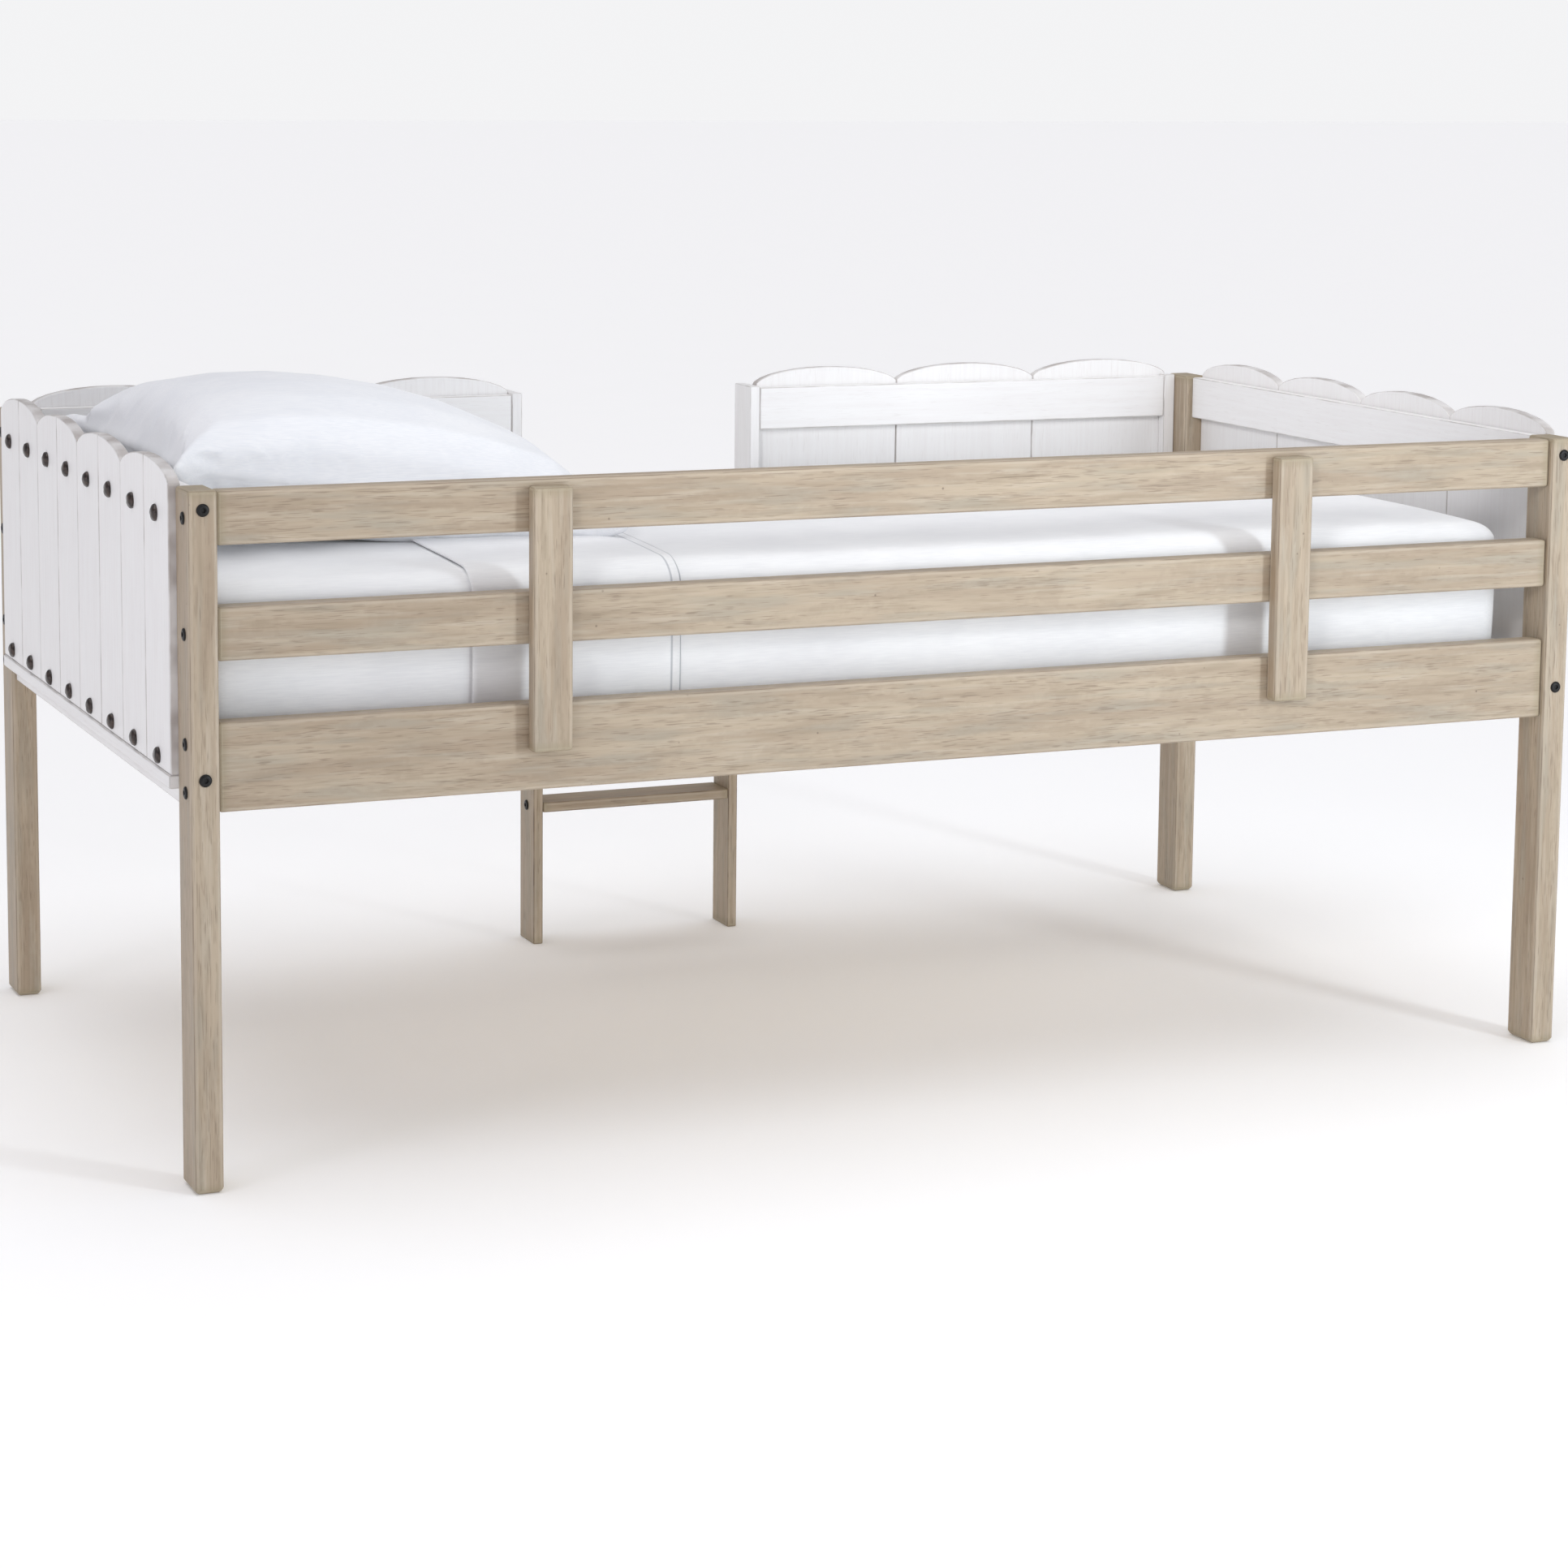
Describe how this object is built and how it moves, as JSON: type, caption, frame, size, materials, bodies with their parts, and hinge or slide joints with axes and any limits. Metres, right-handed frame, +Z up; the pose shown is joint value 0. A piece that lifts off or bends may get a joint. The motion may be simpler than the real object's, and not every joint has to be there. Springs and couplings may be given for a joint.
{
  "type": "low loft bed",
  "caption": "Low loft bed for a child: greige posts and guard rails, white scalloped board panels on three sides, short ladder at a gap in the back, slatted base, mattress and pillow.",
  "frame": {"origin": "on the floor, under the middle of the whole footprint", "axes": "+X along the bed to the foot end, +Y to the side with the boarding gap and ladder, +Z up; the open guard rails face -Y"},
  "size_m": [2.022, 1.1684, 0.9544],
  "materials": {
    "greige_hardwood": "driftwood-grey glaze rubbed into hardwood under satin lacquer",
    "white_paint": "brushed white paint on boards, with a thin grey-brown glaze in grooves and joints",
    "pine": "planed bare pine",
    "bedding_cotton": "plain woven white cotton sheet",
    "pillow_cotton": "plain woven white cotton pillowcase"
  },
  "bodies": {
    "bed_frame": {"post_front_head": "greige_hardwood", "post_front_foot": "greige_hardwood", "post_back_head": "greige_hardwood", "post_back_foot": "greige_hardwood", "front_side_rail": "greige_hardwood", "back_side_rail": "greige_hardwood", "front_guard_rail_top": "greige_hardwood", "front_guard_rail_middle": "greige_hardwood", "front_upright_head": "greige_hardwood", "front_upright_foot": "greige_hardwood", "head_top_rail": "white_paint", "head_bottom_rail": "white_paint", "head_trim": "white_paint", "head_board_1": "white_paint", "head_board_2": "white_paint", "head_board_3": "white_paint", "head_board_4": "white_paint", "back_head_jamb": "white_paint", "back_head_stile": "white_paint", "back_head_top_rail": "white_paint", "back_head_bottom_rail": "white_paint", "back_head_trim": "white_paint", "back_head_board_1": "white_paint", "back_head_board_2": "white_paint", "back_head_board_3": "white_paint", "foot_top_rail": "white_paint", "foot_bottom_rail": "white_paint", "foot_trim": "white_paint", "foot_board_1": "white_paint", "foot_board_2": "white_paint", "foot_board_3": "white_paint", "foot_board_4": "white_paint", "back_foot_jamb": "white_paint", "back_foot_stile": "white_paint", "back_foot_top_rail": "white_paint", "back_foot_bottom_rail": "white_paint", "back_foot_trim": "white_paint", "back_foot_board_1": "white_paint", "back_foot_board_2": "white_paint", "back_foot_board_3": "white_paint", "ladder_stile_head": "greige_hardwood", "ladder_stile_foot": "greige_hardwood", "ladder_tread_1": "greige_hardwood", "ladder_tread_2": "greige_hardwood", "front_cleat": "pine", "back_cleat": "pine", "base_slat_01": "pine", "base_slat_02": "pine", "base_slat_03": "pine", "base_slat_04": "pine", "base_slat_05": "pine", "base_slat_06": "pine", "base_slat_07": "pine", "base_slat_08": "pine", "base_slat_09": "pine", "base_slat_10": "pine", "base_slat_11": "pine", "base_slat_12": "pine"},
    "mattress": {"mattress": "bedding_cotton"},
    "pillow": {"pillow": "pillow_cotton"}
  },
  "joints": [
    {"name": "mattress_lift_out", "type": "slide", "parent": "bed_frame", "child": "mattress", "axis": [0, 0, 1], "range_m": [0, 0.4]},
    {"name": "pillow_lift_off", "type": "slide", "parent": "mattress", "child": "pillow", "axis": [0, 0, 1], "range_m": [0, 0.3]}
  ]
}
